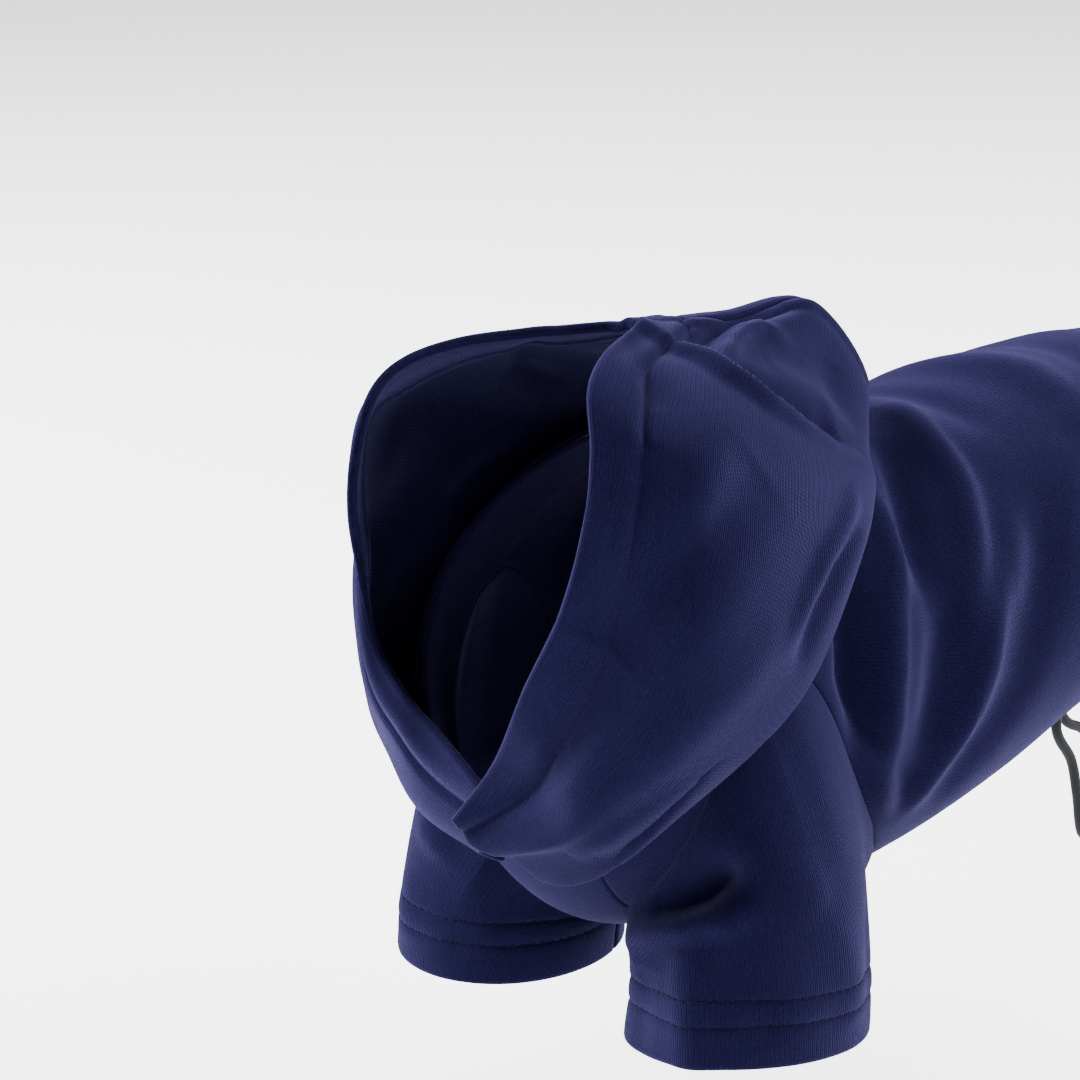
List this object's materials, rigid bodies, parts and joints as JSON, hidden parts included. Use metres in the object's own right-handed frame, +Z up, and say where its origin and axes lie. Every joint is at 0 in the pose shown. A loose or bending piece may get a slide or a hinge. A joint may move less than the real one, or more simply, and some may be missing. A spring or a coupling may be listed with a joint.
{
  "type": "dog pullover hoodie",
  "caption": "Small dog's pullover hoodie in sweatshirt jersey: hood worn down behind the neck, short hemmed sleeves, open trunk tube and a drawcord at the belly hem.",
  "frame": {"origin": "in the cloth of the back panel on its middle line, over the withers, where the dog carries the garment", "axes": "+Z up, +Y towards the tail, so the neck opening faces -Y, and +X towards the dog's left side"},
  "size_m": [0.1424, 0.2878, 0.1864],
  "materials": {
    "jersey": "matt knitted sweatshirt jersey, deep navy",
    "cord": "black elastic cord"
  },
  "bodies": {
    "root": {"back_panel": "jersey", "chest_panel": "jersey", "sleeve_left": "jersey", "sleeve_right": "jersey", "hood_left": "jersey", "hood_right": "jersey", "hem_cord": "cord"}
  },
  "joints": []
}
